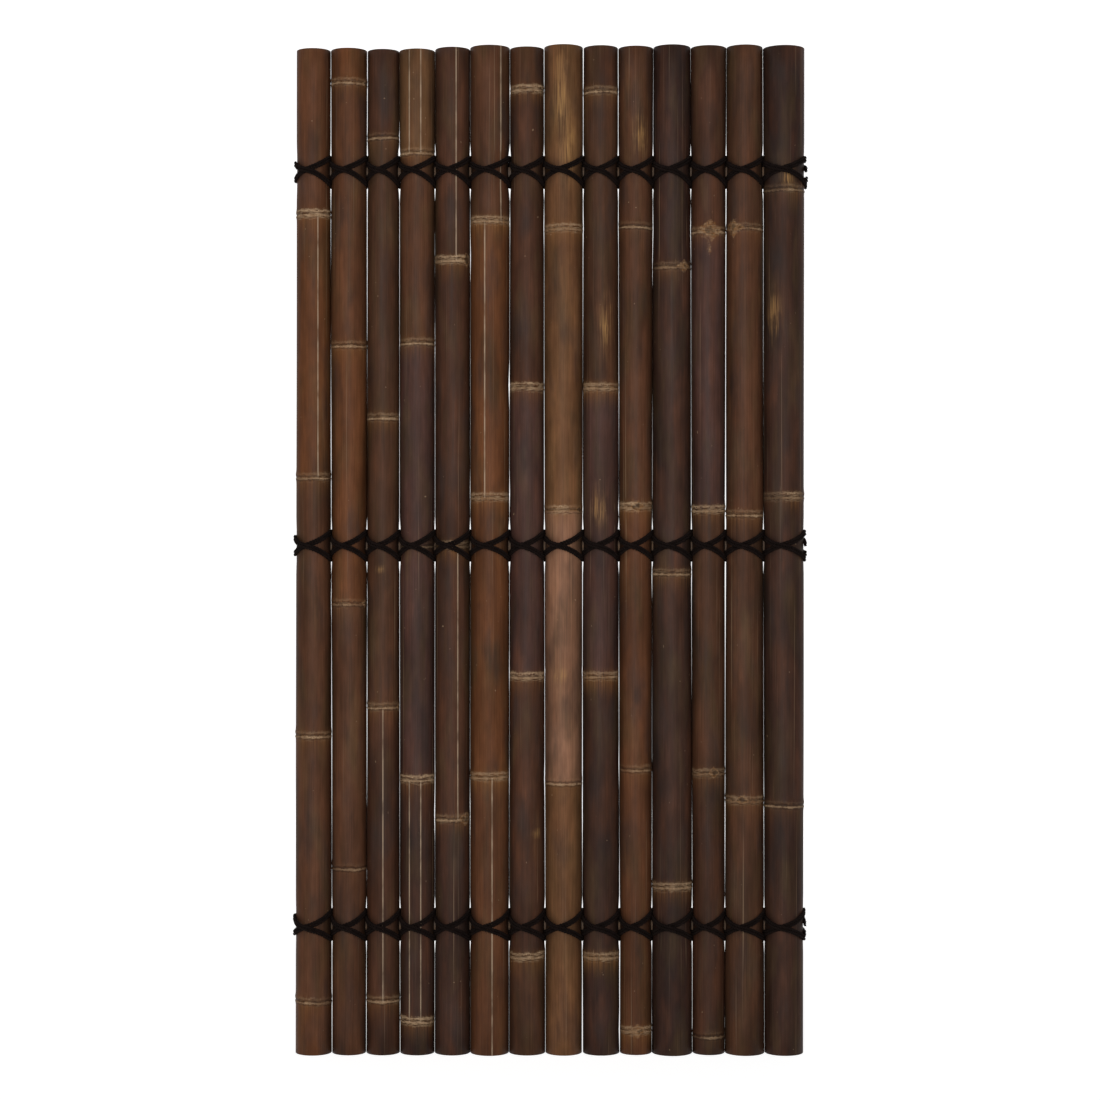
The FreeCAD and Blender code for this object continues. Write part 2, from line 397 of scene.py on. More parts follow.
LOOKS = [
    Look(
        "bay chestnut chestnut russet bay", "bright bright bright double",
        lines={3: (0.33,)}, shown={0: -0.3},
    ),
    Look(
        "chestnut chestnut russet bay russet", "thin bright bright bright",
        knobs={1: (0.9, 1.0), 3: (0.9, 1.0)}, shown={0: 0.3, 1: -0.5},
    ),
    Look(
        "walnut walnut umber umber walnut", "bright bright bright thin",
        knobs={1: (0.95, 0.9), 2: (0.95, 0.9)}, lines={1: (0.0,)}, patches=((0.866, -0.15, 0.006),),
    ),
    Look(
        "pitch ebony plum plum chestnut tawny", "double double thin bright bright",
        lines={1: (-0.4, 0.2), 5: (-0.45, 0.24)},
    ),
    Look(
        "ebony walnut walnut walnut", "bright gold double",
        knobs={0: (0.78, 1.9), 2: (0.8, 1.8)}, lines={1: (0.38,), 3: (0.27,)},
    ),
    Look("bay russet russet chestnut", "gold rough gold", lines={0: (0.16,), 2: (-0.22,), 3: (0.6,)}),
    Look(
        "umber walnut plum walnut chestnut", "double double double double",
        patches=((0.395, 0.55, 0.008),),
    ),
    Look(
        "golden honey golden golden", "thin rough rough", knobs={1: (0.8, 1.0)},
        patches=((1.7, -0.1, 0.09), (1.62, 0.3, 0.05), (0.675, -0.2, 0.012)), shown={1: -0.2},
    ),
    Look(
        "pitch ebony plum umber walnut", "gold gold gold bright", knobs={3: (0.9, 0.8)},
        patches=((0.975, -0.1, 0.025), (1.3, 0.3, 0.03)),
    ),
    Look(
        "bay bay bay chestnut chestnut", "rough bright rough thin",
        buds={0: (0.1, 2.0)}, knobs={2: (0.1, 1.6)}, patches=((1.64, 0.25, 0.028),), shown={1: 0.35},
    ),
    Look("pitch ebony ebony pitch", "double bright bright", buds={2: (0.6, 1.8)}, shown={2: -0.2}),
    Look(
        "ebony walnut umber plum walnut", "thin faint double bright",
        buds={3: (0.05, 3.2)}, knobs={1: (0.25, 1.4)}, shown={0: 0.4},
    ),
    Look(
        "umber umber chestnut umber", "faint bright bright",
        buds={2: (-0.65, 2.6)}, knobs={0: (-0.2, 1.4)}, shown={2: 0.5},
    ),
    Look(
        "ebony ebony ebony pitch", "thin rough bright",
        patches=((1.32, -0.6, 0.03), (1.565, 0.2, 0.014)), shown={1: 0.4, 2: 0.4},
    ),
]
print("culms described:", len(LOOKS))

# %% [markdown]
# A culm is round, so its half section is drawn once as a line of points and spun about its axis. A plain
# cylinder would miss what makes it bamboo: each node has a thin lip where the leaf sheath fell off, a
# groove over the lip and a swollen ridge over the groove. The line also goes into the open ends, down the
# bore to the first diaphragm, so that the hollow cut ends are real. Its points lie closer together where
# the next steps need them: at the nodes, at the slots and lashings, and where a patch is rubbed.

# %% Half section of a culm
WALL = 7.0 * MM
HALF_DIAPHRAGM = 3.0 * MM
EDGE_ROUND = 0.6 * MM
RING_STEP = 45.0 * MM
MORTISE_CLEARANCE = 0.3 * MM
LASHING_RINGS = (18.0 * MM, 28.0 * MM, 38.0 * MM, 52.0 * MM)
PATCH_RINGS = (-1.4, -0.7, 0.0, 0.7, 1.4)

# Height from the node and rise over the plain skin.
NODE_OUTLINE = (
    (-14.0, 0.0), (-7.0, 0.06), (-3.5, 0.35), (-1.7, 0.75), (-0.9, 1.15), (0.0, 1.2), (0.6, 0.7), (1.8, 0.25),
    (3.6, 0.35), (5.4, 0.8), (7.0, 1.1), (8.8, 1.05), (11.3, 0.55), (15.0, 0.2), (21.0, 0.0),
)
NODE_OUTLINE = tuple((height * MM, rise * MM) for height, rise in NODE_OUTLINE)

ROWS = {}
for row in ("top", "middle", "bottom"):
    lath_low, lath_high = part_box(f"{row}_lath")
    ROWS[row] = (lath_low.z + lath_high.z) / 2
LATH_EDGE = (lath_high.z - lath_low.z) / 2 + MORTISE_CLEARANCE


def node_rise(culm, height):
    """How far the skin stands over the plain taper at a height."""
    for node in culm.nodes:
        above = height - node
        for (lower, lower_rise), (upper, upper_rise) in zip(NODE_OUTLINE, NODE_OUTLINE[1:]):
            if lower <= above <= upper:
                return lower_rise + (upper_rise - lower_rise) * (above - lower) / (upper - lower)
    return 0.0


def skin_heights(culm, look):
    """Heights of the rings of the skin: close together where something is to be drawn or moved."""
    needed = [EDGE_ROUND, culm.length - EDGE_ROUND]
    for node in culm.nodes:
        needed += [node + above for above, rise in NODE_OUTLINE]
    for row_height in ROWS.values():
        for off in (LATH_EDGE, *LASHING_RINGS):
            needed += [row_height - off, row_height + off]
    for patch_height, side, half_length in look.patches:
        needed += [patch_height + half_length * share for share in PATCH_RINGS]
    needed = sorted(height for height in needed if EDGE_ROUND <= height <= culm.length - EDGE_ROUND)
    heights = []
    for low, high in zip(needed, needed[1:]):
        steps = max(1, round((high - low) / RING_STEP))
        heights += [low + (high - low) * step / steps for step in range(steps)]
    return heights + needed[-1:]


def bore_heights(low, high):
    """Heights of the edges of mortises that open into a bore."""
    edges = [row_height + side * LATH_EDGE for row_height in ROWS.values() for side in (-1, 1)]
    return sorted(edge for edge in edges if low < edge < high)


def half_section(culm, look):
    """Radius and height along the culm's surface, from the lower diaphragm outside to the upper one."""
    ceiling = culm.nodes[0] - HALF_DIAPHRAGM
    floor = culm.nodes[-1] + HALF_DIAPHRAGM
    lower_bore = culm.lower_radius - WALL
    upper_bore = culm.upper_radius - WALL
    section = [(0.0, ceiling), (lower_bore, ceiling)]
    section += [(lower_bore, height) for height in reversed(bore_heights(0.0, ceiling))]
    section += [(lower_bore, EDGE_ROUND)]
    section += [(lower_bore + EDGE_ROUND, 0.0), (culm.lower_radius - EDGE_ROUND, 0.0)]
    for height in skin_heights(culm, look):
        section.append((culm.radius(height) + node_rise(culm, height), height))
    section += [(culm.upper_radius - EDGE_ROUND, culm.length), (upper_bore + EDGE_ROUND, culm.length)]
    section += [(upper_bore, culm.length - EDGE_ROUND)]
    section += [(upper_bore, height) for height in reversed(bore_heights(floor, culm.length))]
    return section + [(upper_bore, floor), (0.0, floor)]


print("points of the first half section:", len(half_section(culms[0], LOOKS[0])))

# %% [markdown]
# Turned round its axis in even steps, the half section closes into a skin. Blender's Screw modifier could
# do it too, but a spin in a bmesh leaves the faces free for the next steps. It starts half a step off, so
# that the middle of a column, and not an edge, lies at the left and right, where the slots come.

# %% Spin the culms
SKIN_COLUMNS = 64
TINY = 0.001 * MM


def spin_culm(culm, look):
    """The culm's closed surface about the z axis."""
    skin = bmesh.new()
    points = [skin.verts.new((radius, 0.0, height)) for radius, height in half_section(culm, look)]
    for first, second in zip(points, points[1:]):
        skin.edges.new((first, second))
    half_column = Matrix.Rotation(math.pi / SKIN_COLUMNS, 3, "Z")
    bmesh.ops.rotate(skin, verts=points, cent=(0, 0, 0), matrix=half_column)
    bmesh.ops.spin(
        skin, geom=skin.verts[:] + skin.edges[:], cent=(0, 0, 0), axis=(0, 0, 1),
        angle=2 * math.pi, steps=SKIN_COLUMNS, use_merge=True,
    )
    bmesh.ops.remove_doubles(skin, verts=skin.verts, dist=TINY)
    bmesh.ops.recalc_face_normals(skin, faces=skin.faces)
    return skin


skins = [spin_culm(culm, look) for culm, look in zip(culms, LOOKS)]
print("faces on the first culm:", len(skins[0].faces))

# %% [markdown]
# Each lath passes through a slot in every cane. A boolean would cut it, but the rings and columns of the
# skin already lie along the slot's edges, so it is cleaner to delete the faces on both sides and bridge
# the two holes into a tunnel. Where a slot opens into a hollow end, the holes in the outer and the inner
# wall are bridged instead, once on each side.

# %% Mortises
SLOT_COLUMNS = 3
SLOT_HALF_ANGLE = SLOT_COLUMNS * math.pi / SKIN_COLUMNS
CUT_MATERIAL = 1


def cut_mortise(skin, row_height, opens_into_bore):
    """Open the slot for a lath, from the left side of the culm to the right."""
    slot = []
    for face in skin.faces:
        centre = face.calc_center_median()
        turned = math.atan2(abs(centre.y), abs(centre.x))
        if turned < SLOT_HALF_ANGLE and abs(centre.z - row_height) < LATH_EDGE:
            slot.append(face)
    edges = dict.fromkeys(edge for face in slot for edge in face.edges)
    rim = [edge for edge in edges if sum(face in slot for face in edge.link_faces) == 1]
    sides = [rim]
    if opens_into_bore:
        sides = [[edge for edge in rim if side * edge.verts[0].co.x > 0] for side in (-1, 1)]
    bmesh.ops.delete(skin, geom=slot, context="FACES")
    for side in sides:
        for face in bmesh.ops.bridge_loops(skin, edges=side)["faces"]:
            face.material_index = CUT_MATERIAL


for culm, skin in zip(culms, skins):
    for row_height in ROWS.values():
        in_bore = row_height < culm.nodes[0] or row_height > culm.nodes[-1]
        cut_mortise(skin, row_height, in_bore)
    bmesh.ops.recalc_face_normals(skin, faces=skin.faces)
open_edges = sum(not edge.is_manifold for skin in skins for edge in skin.edges)
print("open edges after the mortises:", open_edges)

# %% [markdown]
# Real culms aren't turned on a lathe. Between the lashings they swell and sway until they nearly touch, so
# only uneven slivers of light come through. Their rings slant, they aren't quite round, and a bud swells
# over some of the rings. These are small moves of the vertices, worked out from the angle round the culm
# and the height. At the lashings they neither swell nor sway, because there the ropes hold them apart.

# %% Swelling and sway
SLACK = (0.6, 0.5, 0.34, 0.16, 0.1, 0.07, 0.25, 0.78, 0.5, 0.2, 0.25, 0.7, 0.26)
LEAST_SLACK = 0.06 * MM
UNEVENNESS = 3.0
SWAY = 0.9 * MM
OUTER_SWELL = 0.7 * MM
CREST = CAD_NODE_RISE + 0.1 * MM
ROW_HOLD = 24.0 * MM
ROW_FADE = 28.0 * MM

# Steps of a noise from piece to piece and with the height, and its layer.
SWAY_NOISE = (7.3, 1.7, 4.4)
SLACK_NOISE = (3.1, 2.7, 8.2)


def slow_noise(piece, height, steps):
    """Noise that differs from piece to piece and changes slowly with the height."""
    piece_step, height_step, layer = steps
    return noise.noise(Vector((piece * piece_step, height * height_step, layer)))


def smooth_share(value):
    """A share held between 0 and 1, with a soft start and end."""
    share = min(max(value, 0.0), 1.0)
    return share * share * (3 - 2 * share)


def looseness(height):
    """0 at the lashings, where the ropes hold the canes, and 1 between them."""
    distance = min(abs(height - row_height) for row_height in ROWS.values())
    return smooth_share((distance - ROW_HOLD) / ROW_FADE)


def swell(index, side, height):
    """How far a culm's left (-1) or right (1) side moves out at a height."""
    culm = culms[index]
    gap = index if side < 0 else index + 1
    sway = SWAY * slow_noise(gap, height, SWAY_NOISE)
    if gap in (0, len(culms)):
        return looseness(height) * (OUTER_SWELL + side * sway)
    other = culms[index + side]
    free = abs(other.x - culm.x) - culm.radius(height) - other.radius(height)
    uneven = 1 + UNEVENNESS * slow_noise(gap, height, SLACK_NOISE)
    slack = max(SLACK[gap - 1] * MM * uneven, LEAST_SLACK)
    crest = max(node_rise(culm, height), node_rise(other, height)) / CREST
    return looseness(height) * ((free - slack) / 2 * (1 - crest) + side * sway)


print("swelling on the right of cane 8, 0.7 m up:", round(swell(7, 1, 0.7) / MM, 2), "mm")

# %% [markdown]
# A place on a skin is given by its height and by its turn, the angle from the front. From these, small
# functions say how near it is to a bud, a knob or a pale line, and how far the ring of a node slants there.
# Buds could be little pieces of their own, but each would need fitting, and on a real culm they grow out
# of the skin. The rings waver by noise. The cut ends stay flat, because a saw made them.

# %% Spots, lines and slanting rings
BUD_WIDTH = 10.0 * MM
BUD_HEIGHT = 7.5 * MM
BUD_LIFT = 2.0 * MM
COLUMN = 2 * math.pi / SKIN_COLUMNS
LEAN = 0.6 * MM
LEAN_NOISE = (37.0, 1.3, 0.5)
SLANT = 2.0 * MM
SLANT_REACH = 24.0 * MM
SLANT_NOISE = (51.0, 5.3, 2.5)
RAGGED = 0.9 * MM
RAGGED_STEP = 1.6
RAGGED_LAYERS = (70.0, 3.7)
CUT_FADE = 20.0 * MM


def bell(distance, width):
    """1 in the middle, falling smoothly to nothing some widths away."""
    return math.exp(-(distance / width) ** 2)


def off_side(turn, side, radius):
    """Distance round the skin from a side given as a share of the radius."""
    return math.remainder(turn - math.asin(side), 2 * math.pi) * radius


def diamond(spots, number, turn, radius, over):
    """1 in the middle of a bud or knob of a node, falling to 0 along the edges of a diamond."""
    if number not in spots:
        return 0.0
    side, size = spots[number]
    across = abs(off_side(turn, side, radius)) / (BUD_WIDTH * size)
    return max(0.0, 1 - across - abs(over - BUD_LIFT) / (BUD_HEIGHT * size))


def on_line(turn, sides):
    """1 on the edges of columns that carry a pale line."""
    for side in sides:
        wanted = (math.floor(math.asin(side) / COLUMN) + 0.5) * COLUMN
        if abs(math.remainder(turn - wanted, 2 * math.pi)) < COLUMN / 4:
            return 1.0
    return 0.0


def lean_at(culm, height):
    """How far a culm's axis lies in front of or behind the panel's middle at a height."""
    return LEAN * slow_noise(culm.x, height, LEAN_NOISE)


def node_slant(culm, number, turn, above):
    """How far the ring of a node shifts up or down at a turn. The cut ends stay flat."""
    height = culm.nodes[number] + above
    free = smooth_share(min(height, culm.length - height) / CUT_FADE)
    slant = SLANT * slow_noise(culm.x, number, SLANT_NOISE) * math.sin(turn + number)
    layer = culm.x * RAGGED_LAYERS[0] + number * RAGGED_LAYERS[1]
    around = Vector((math.cos(turn) * RAGGED_STEP, math.sin(turn) * RAGGED_STEP, layer))
    return (slant + RAGGED * noise.noise(around)) * bell(above, SLANT_REACH) * free


print("lean of the first cane at mid panel:", round(lean_at(culms[0], 0.9) / MM, 2), "mm")

# %% [markdown]
# The same loop that moves the vertices writes what the paint needs onto the mesh: the stain's colour, how
# far each vertex lies above and below a node, how strongly that node's rings show, and masks for the pale
# lines, rubbed patches, buds and knobs, for painted shade with some dirt on the sides that face a neighbour,
# and for painted shade round the ropes. The paint then draws the rings itself, with edges torn by noise,
# which looks more natural than rings as sharp as the mesh.

# %% Shape and describe the skins
# Two masks hold painted shade: the one for the sides that face a neighbour, and the one near the ropes.
MASKS = ("above_node", "below_node", "pale_line", "patch", "bud", "knob", "side", "rope_shade")
OUT_OF_ROUND = 0.4 * MM
LUMP_STEP = 25.0
LUMP_CULM_STEP = 90.0
LUMP_HEIGHT_STEP = 3.0
BUD_RISE = 1.8 * MM
SKIN_DEPTH = 1.0 * MM
PATCH_WIDTH = 12.0 * MM
SHOWN_WIDTH = 18.0 * MM
LEAST_SHOWN = 0.3
ROPE_SHADE_REACH = 18.0 * MM
FAR = 60.0 * MM


class SkinPainter:
    """Describes and moves the vertices of one culm."""

    def __init__(self, index, skin):
        self.index = index
        self.culm = culms[index]
        self.look = LOOKS[index]
        self.skin = skin
        self.free_side = -1 if index == 0 else 1 if index == len(culms) - 1 else 0
        self.stain = skin.verts.layers.float_color.new("stain")
        self.rings = skin.verts.layers.float_color.new("rings")
        self.masks = {name: skin.verts.layers.float.new(name) for name in MASKS}

    def masks_at(self, x, radius, turn, height):
        """The value of each mask at a place."""
        culm, look = self.culm, self.look
        number = culm.nearest_node(height)
        over = height - culm.nodes[number]
        patch = 0.0
        for patch_height, side, half_length in look.patches:
            across = bell(off_side(turn, side, radius), min(PATCH_WIDTH, half_length))
            patch = max(patch, across * bell(height - patch_height, half_length))
        sideways = abs(x / radius) if radius > 0 else 0.0
        near_row = max(bell(height - row_height, ROPE_SHADE_REACH) for row_height in ROWS.values())
        return {
            "above_node": min([FAR] + [height - node for node in culm.nodes if node < height + TINY]),
            "below_node": min([FAR] + [node - height for node in culm.nodes if node > height - TINY]),
            "pale_line": on_line(turn, look.lines.get(culm.internode(height), ())),
            "patch": patch,
            "bud": diamond(look.buds, number, turn, radius, over),
            "knob": diamond(look.knobs, number, turn, radius, over),
            # painted shade, with some dirt, on flanks that face a neighbour; none on the free outer flanks
            "side": sideways if x * self.free_side <= 0 else 0.0,
            # painted shade round the ropes, strongest on the flanks of the cane
            "rope_shade": near_row * sideways,
        }

    def ring_strengths(self, number, turn, radius):
        """How strongly the parts of a node's ring show at a turn."""
        shown = 1.0
        if number in self.look.shown:
            near = bell(off_side(turn, self.look.shown[number], radius), SHOWN_WIDTH)
            shown = LEAST_SHOWN + (1 - LEAST_SHOWN) * near
        return [shown * strength for strength in RINGS[self.look.rings[number]]]

    def push_out(self, x, y, radius, height):
        """How far the skin swells or bulges out at a place."""
        side = 1 if x > 0 else -1
        shifted = x * LUMP_STEP + self.culm.x * LUMP_CULM_STEP
        lump = noise.noise(Vector((shifted, y * LUMP_STEP, height * LUMP_HEIGHT_STEP)))
        push = swell(self.index, side, height) * (x / radius) ** 2
        return push + OUT_OF_ROUND * lump * (y / radius) ** 2

    def paint_vertex(self, vertex):
        """Write the colour and masks of one vertex, and move it."""
        culm = self.culm
        x, y, height = vertex.co
        radius = math.hypot(x, y)
        turn = math.atan2(x, -y)
        number = culm.nearest_node(height)
        masks = self.masks_at(x, radius, turn, height)
        for name, layer in self.masks.items():
            vertex[layer] = masks[name]
        # the stain's colour, which on some lower internodes also holds painted shade
        vertex[self.stain] = STAINS[self.look.stains_and_shade[culm.internode(height)]]
        vertex[self.rings] = (*self.ring_strengths(number, turn, radius), 1.0)
        if radius > culm.radius(height) - SKIN_DEPTH:
            push = self.push_out(x, y, radius, height) + BUD_RISE * (masks["bud"] + masks["knob"])
            x += push * x / radius
            y += push * y / radius
        slant = node_slant(culm, number, turn, height - culm.nodes[number])
        vertex.co = (culm.x + x, y + lean_at(culm, height), height + slant)

    def paint_all(self):
        """Every vertex, and the faces of the cut ends and bores."""
        for face in self.skin.faces:
            centre = face.calc_center_median()
            corners = [math.hypot(vertex.co.x, vertex.co.y) for vertex in face.verts]
            if max(corners) < self.culm.radius(centre.z) - EDGE_ROUND / 2:
                face.material_index = CUT_MATERIAL
        for vertex in self.skin.verts:
            self.paint_vertex(vertex)


for index, skin in enumerate(skins):
    SkinPainter(index, skin).paint_all()
print("skins painted:", len(skins))

# %% [markdown]
# The skin's finish is a dark stain over bamboo. A picture of bamboo could be wrapped round each cane, but
# noise that is stretched along the cane has no seam and looks different on each one. Wide noise makes the
# cloudy streaks, finer noise the fibres, and red, olive and cool clouds break the stain up. The noises are
# kept in one list, because several layers of the finish share them.

# %% Stain and streaks
RUST = paint(92, 56, 37)
COOL = paint(44, 37, 35)
OLIVE = paint(72, 57, 36)
PALE_TAN = paint(166, 139, 109)

# Scale along x, y and z, and detail.
SKIN_NOISES = {
    "clouds": ((26.0, 26.0, 6.0), 3.0),
    "streaks": ((320.0, 320.0, 4.0), 5.0),
    "fibres": ((900.0, 900.0, 16.0), 3.0),
    "red_clouds": ((33.0, 33.0, 8.0), 3.0),
    "cool_clouds": ((29.0, 31.0, 9.0), 3.0),
    "blotches": ((70.0, 70.0, 26.0), 3.0),
    "scratches": ((330.0, 330.0, 1.6), 2.0),
    "grain": ((420.0, 420.0, 330.0), 4.0),
    "lumps": ((120.0, 120.0, 90.0), 3.0),
    "parts": ((38.0, 38.0, 9.0), 1.0),
    "specks": ((210.0, 210.0, 150.0), 1.0),
    "ripples": ((90.0, 90.0, 900.0), 3.0),
}


def stain_layer(tree, noises):
    """The stain of each internode, with clouds, streaks, fibres, scratches and painted shade on the flanks.
    """
    colour = attribute(tree, "stain", "Color")
    colour = veil(tree, colour, RUST, noises["red_clouds"], 0.5, 0.75, 0.0, 0.4)
    colour = veil(tree, colour, OLIVE, noises["red_clouds"], 0.5, 0.3, 0.0, 0.4)
    colour = veil(tree, colour, COOL, noises["cool_clouds"], 0.5, 0.75, 0.0, 0.6)
    colour = shade(tree, colour, noises["clouds"], 0.3, 0.7, 0.68, 1.32)
    colour = shade(tree, colour, noises["blotches"], 0.3, 0.7, 0.88, 1.12)
    colour = shade(tree, colour, noises["streaks"], 0.25, 0.75, 0.84, 1.16)
    colour = shade(tree, colour, noises["fibres"], 0.25, 0.75, 0.8, 1.2)
    # painted shade, with some dirt, darkens the flanks that face a neighbour
    colour = shade(tree, colour, attribute(tree, "side"), 0.58, 0.97, 1.0, 0.62)
    colour = veil(tree, colour, PALE_TAN, noises["scratches"], 0.66, 0.76, 0.0, 0.3)
    return veil(tree, colour, PALE_TAN, noises["specks"], 0.79, 0.83, 0.0, 0.5)


print("noises of the skin:", len(SKIN_NOISES))

# %% [markdown]
# Round a node the skin is golden, and further down from it than up. A ring of plain colour would have a
# clean edge, so the distance from the node is shaken by noise first. Patches where the stain is rubbed off
# and thin pale lines come next. They lie where the masks on the mesh say.

# %% Golden skin and worn places
GOLDEN_SKIN = paint(124, 84, 46)
RUBBED = paint(158, 119, 73)
PALE_LINE = paint(168, 146, 122)
SHAKE = 2.6 * MM
GOLD_FULL = 2 * MM
GOLD_ABOVE = 22 * MM
GOLD_BELOW = 44 * MM


def node_distances(tree, noises):
    """Distances above and below a node, shaken by noise."""
    shaken = remap(tree, add(tree, noises["grain"], noises["lumps"]), 0.6, 1.4, -SHAKE, SHAKE)
    return [add(tree, attribute(tree, name), shaken) for name in ("above_node", "below_node")]


def golden_layer(tree, noises, colour, above, below, strength):
    """Golden skin round the nodes."""
    gold_above = remap(tree, above, GOLD_FULL, GOLD_ABOVE, 1.0, 0.0)
    gold_below = remap(tree, below, GOLD_FULL, GOLD_BELOW, 1.0, 0.0)
    gold = greater(tree, gold_above, gold_below)
    gold = multiply(tree, multiply(tree, gold, gold), strength)
    gold = multiply(tree, gold, remap(tree, noises["streaks"], 0.36, 0.66, 0.2, 0.9))
    return lay_over(tree, gold, colour, GOLDEN_SKIN)


def worn_layer(tree, noises, colour):
    """Rubbed patches, and thin pale lines."""
    rubbed = multiply(tree, attribute(tree, "patch"), remap(tree, noises["fibres"], 0.44, 0.58, 0.05, 0.95))
    rubbed = multiply(tree, rubbed, remap(tree, noises["blotches"], 0.4, 0.55, 0.4, 1.0))
    colour = lay_over(tree, rubbed, colour, RUBBED)
    line = remap(tree, attribute(tree, "pale_line"), 0.5, 0.92, 0.0, 0.9)
    line = multiply(tree, line, remap(tree, noises["blotches"], 0.35, 0.55, 0.35, 1.0))
    return lay_over(tree, line, colour, PALE_LINE)


print("golden skin reaches", GOLD_ABOVE / MM, "mm above a node and", GOLD_BELOW / MM, "mm below it")

# %% [markdown]
# The ring of a node is not one band. On a real culm it is a pale scar on the lip, a torn pale ridge over
# it and a rough striped band across both, and the grooves between get painted shade. Each of them is a
# range of distances from the node with soft edges, in millimetres, and the mesh says how strongly it shows.

# %% Rings of the nodes
# dark colour for the hearts of buds and knobs, and for painted shade in the grooves and round the ropes
DARK_SPOT_AND_SHADE = paint(22, 15, 12)
GROOVE_SHADE_SHARE = 0.52


def between(tree, distance, start, full, fading, end):
    """1 between two distances from a node, with soft edges."""
    rising = remap(tree, distance, start * MM, full * MM, 0.0, 1.0)
    return multiply(tree, rising, remap(tree, distance, fading * MM, end * MM, 1.0, 0.0))


def up_to(tree, distance, fading, end):
    """1 near a node, with a soft edge."""
    return remap(tree, distance, fading * MM, end * MM, 1.0, 0.0)


def ring_layer(tree, noises, colour, above, below, line_strength, band_strength):
    """Painted shade in the grooves, and over it the rough band, the scar and the ridge."""
    torn = remap(tree, noises["grain"], 0.4, 0.6, 0.45, 1.0)
    part = remap(tree, noises["parts"], 0.4, 0.56, 0.55, 1.0)
    stripes = remap(tree, noises["ripples"], 0.44, 0.62, 0.0, 0.85)
    # painted shade in the grooves above and below the lip of the node
    upper_groove = between(tree, above, 1.2, 2.0, 4.0, 6.0)
    lower_groove = between(tree, below, 2.0, 2.8, 3.0, 6.0)
    groove_shade = greater(tree, upper_groove, lower_groove)
    colour = lay_over(tree, multiply(tree, groove_shade, GROOVE_SHADE_SHARE), colour, DARK_SPOT_AND_SHADE)
    band = greater(tree, up_to(tree, above, 9.0, 12.0), up_to(tree, below, 3.0, 9.0))
    band = multiply(tree, multiply(tree, band, band_strength), multiply(tree, stripes, part))
    scar = greater(tree, up_to(tree, above, 0.7, 1.5), up_to(tree, below, 1.6, 2.7))
    scar = multiply(tree, scar, line_strength)
    ridge = multiply(tree, between(tree, above, 6.0, 7.0, 8.8, 10.0), band_strength)
    crisp = multiply(tree, greater(tree, scar, ridge), multiply(tree, torn, part))
    return lay_over(tree, greater(tree, band, crisp), colour, PALE_TAN)


print("kinds of rings:", ", ".join(RINGS))

# %% [markdown]
# The scar of a bud is a bare, speckled diamond with a dark heart, and a knob is a darker one. Their masks
# have straight edges, so noise tears them first. Painted shade round the ropes goes over everything.

# %% Buds, knobs and painted rope shade
TEAR = 0.35


def torn_spot(tree, noises, name):
    """The mask of buds or knobs, with an edge torn by noise."""
    mask = attribute(tree, name)
    ragged = add(tree, mask, remap(tree, noises["lumps"], 0.32, 0.68, -TEAR, TEAR))
    return multiply(tree, remap(tree, mask, 0.0, 0.2, 0.0, 1.0), ragged)


def spot_layer(tree, noises, colour):
    """Buds, knobs, and painted shade round the ropes."""
    speckle = remap(tree, noises["grain"], 0.38, 0.6, 0.45, 1.0)
    bare = veil(tree, GOLDEN_SKIN, PALE_TAN, noises["ripples"], 0.42, 0.62, 0.0, 0.75)
    bud = torn_spot(tree, noises, "bud")
    knob = torn_spot(tree, noises, "knob")
    colour = lay_over(tree, multiply(tree, remap(tree, bud, 0.08, 0.45, 0.0, 0.85), speckle), colour, bare)
    colour = lay_over(tree, multiply(tree, remap(tree, bud, 0.5, 0.8, 0.0, 0.7), speckle), colour, DARK_SPOT_AND_SHADE)
    colour = lay_over(tree, multiply(tree, remap(tree, knob, 0.02, 0.2, 0.0, 0.7), speckle), colour, bare)
    colour = veil(tree, colour, DARK_SPOT_AND_SHADE, knob, 0.3, 0.65, 0.0, 0.7)
    # painted shade round the ropes, on the flanks of the canes
    return veil(tree, colour, DARK_SPOT_AND_SHADE, attribute(tree, "rope_shade"), 0.1, 0.7, 0.0, 0.7)


print("buds:", sum(len(look.buds) for look in LOOKS), "knobs:", sum(len(look.knobs) for look in LOOKS))


# %% [markdown]
# Now the layers are laid one over the other, from the stain outwards. They could all be written in one
# long function, but apart they are easier to change. The fibres and the grain also give a light bump, and
# the streaks an uneven satin gloss.

# %% Finish of the skin
def skin_material():
    """Dark stained bamboo, satin, with streaks along the cane."""
    material, tree, output = new_material("stained_bamboo")
    noises = {name: stretched_noise(tree, scale, detail) for name, (scale, detail) in SKIN_NOISES.items()}
    above, below = node_distances(tree, noises)
    rings = attribute(tree, "rings", "Color")
    strengths = add_node(tree, "ShaderNodeSeparateColor", {"Color": rings}).outputs
    colour = stain_layer(tree, noises)
    colour = golden_layer(tree, noises, colour, above, below, strengths["Blue"])
    colour = worn_layer(tree, noises, colour)
    colour = ring_layer(tree, noises, colour, above, below, strengths["Red"], strengths["Green"])
    colour = spot_layer(tree, noises, colour)
    roughness = remap(tree, noises["streaks"], 0.3, 0.7, 0.45, 0.62)
    relief = add(tree, noises["fibres"], noises["grain"])
    coat(tree, output, colour, roughness, relief, bump_strength=0.35, bump_depth=0.4 * MM, gloss=0.08)
    return material


stained_bamboo = skin_material()
print("skin finish nodes:", len(stained_bamboo.node_tree.nodes))

# %% [markdown]
# A saw cut shows the wall of the culm: dull brown pith, full of fibre bundles that look like dark dots.
# The same raw finish lines the bores and the slots. The dots are Voronoi cells seen end on, so their
# pattern is stretched along the cane, as the bundles are.

# %% Finish of the cut ends, and the canes' objects
PITH = paint(104, 78, 54)
BUNDLE = paint(52, 36, 26)
BUNDLE_SCALE = (900.0, 900.0, 20.0)


